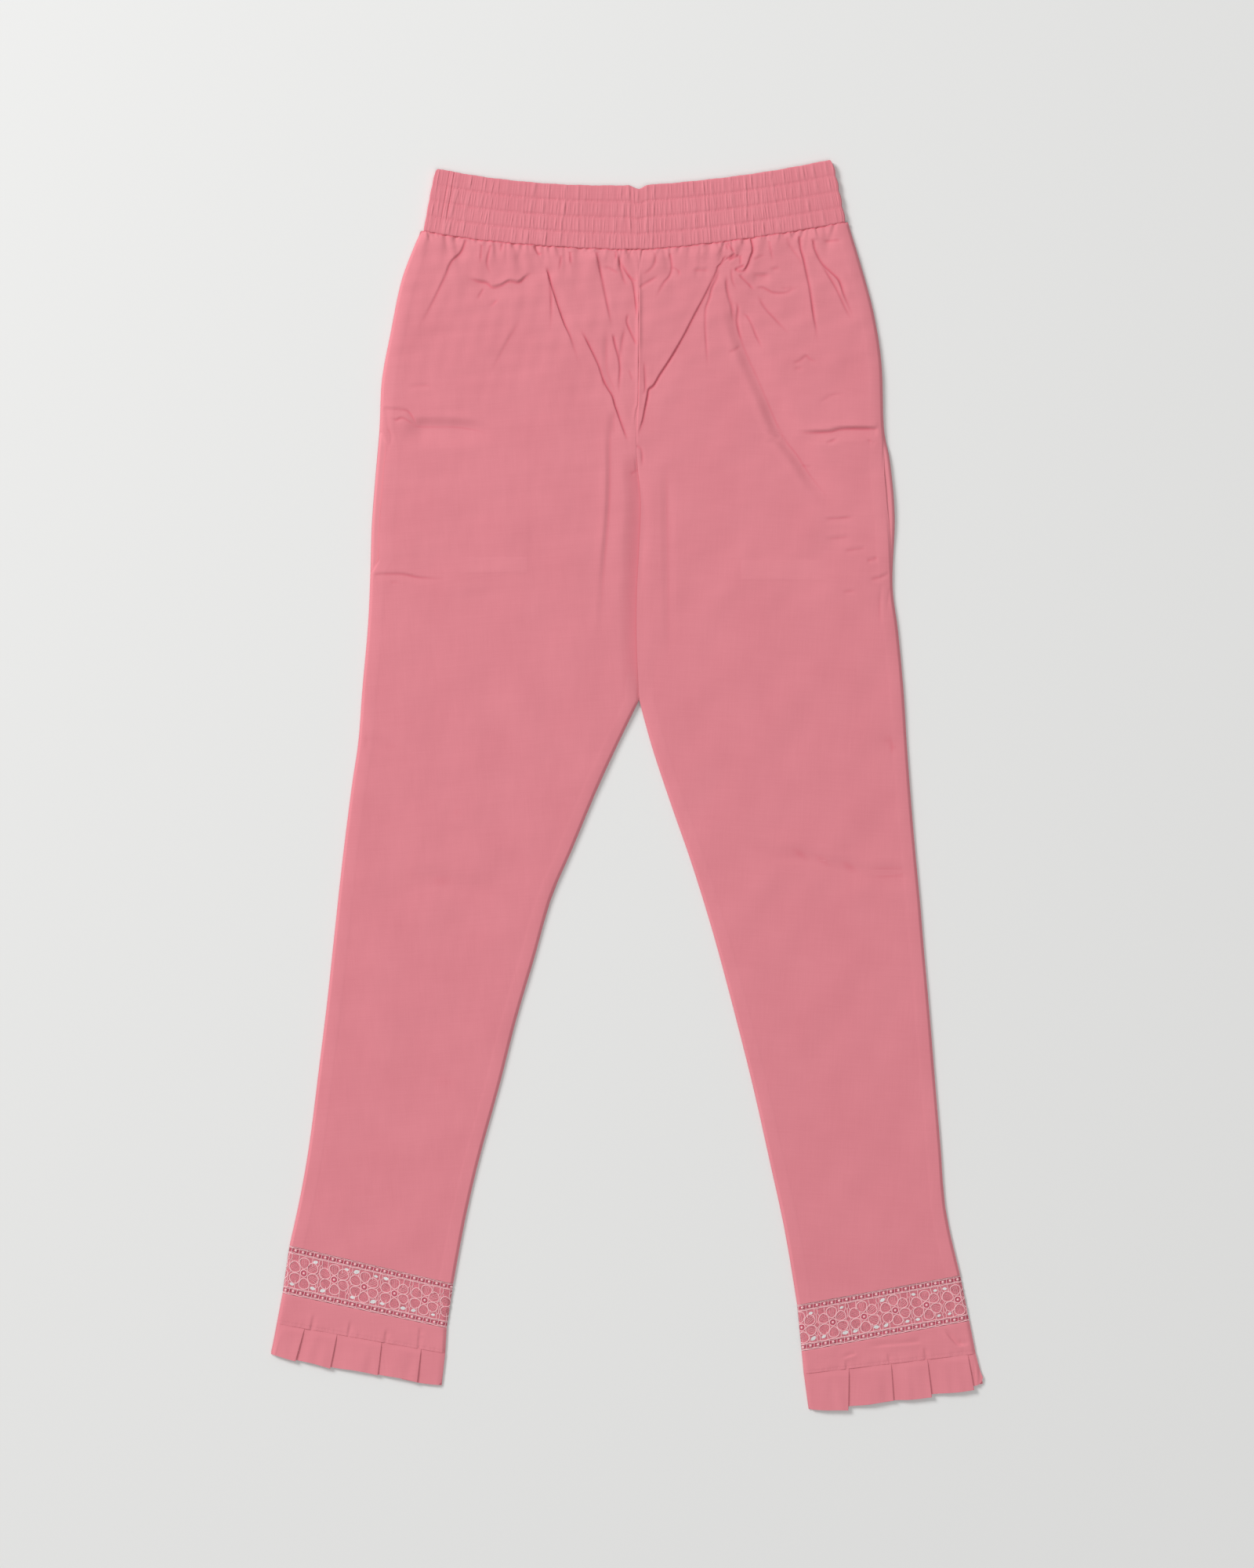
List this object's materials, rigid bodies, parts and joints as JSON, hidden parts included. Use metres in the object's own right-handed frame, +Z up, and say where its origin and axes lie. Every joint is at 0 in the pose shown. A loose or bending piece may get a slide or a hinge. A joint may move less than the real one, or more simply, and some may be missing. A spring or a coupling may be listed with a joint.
{
  "type": "straight pants laid flat",
  "caption": "Elastic-waist woven cotton pants laid flat, tapering legs with side-seam pockets, a flower lace insert and a knife-pleated ruffle at each hem.",
  "frame": {"origin": "middle of the bounding box, on the surface that the pants lie on", "axes": "+Z up out of the surface, +Y from the hems to the waist, +X from the wearer's right leg to the left leg"},
  "size_m": [0.5522, 0.972, 0.0077],
  "materials": {
    "cotton": "plain woven cotton, pink, soft and matte",
    "lace": "chemical lace of mercerised thread, pink, light sheen"
  },
  "bodies": {
    "root": {"waistband": "cotton", "front_panel_right": "cotton", "front_panel_left": "cotton", "back_panel_right": "cotton", "back_panel_left": "cotton", "pocket_bag_right": "cotton", "pocket_bag_left": "cotton", "lace_front_right": "lace", "lace_front_left": "lace", "lace_back_right": "lace", "lace_back_left": "lace", "cuff_front_right": "cotton", "cuff_front_left": "cotton", "cuff_back_right": "cotton", "cuff_back_left": "cotton", "ruffle_front_right": "cotton", "ruffle_front_left": "cotton", "ruffle_back_right": "cotton", "ruffle_back_left": "cotton"}
  },
  "joints": []
}
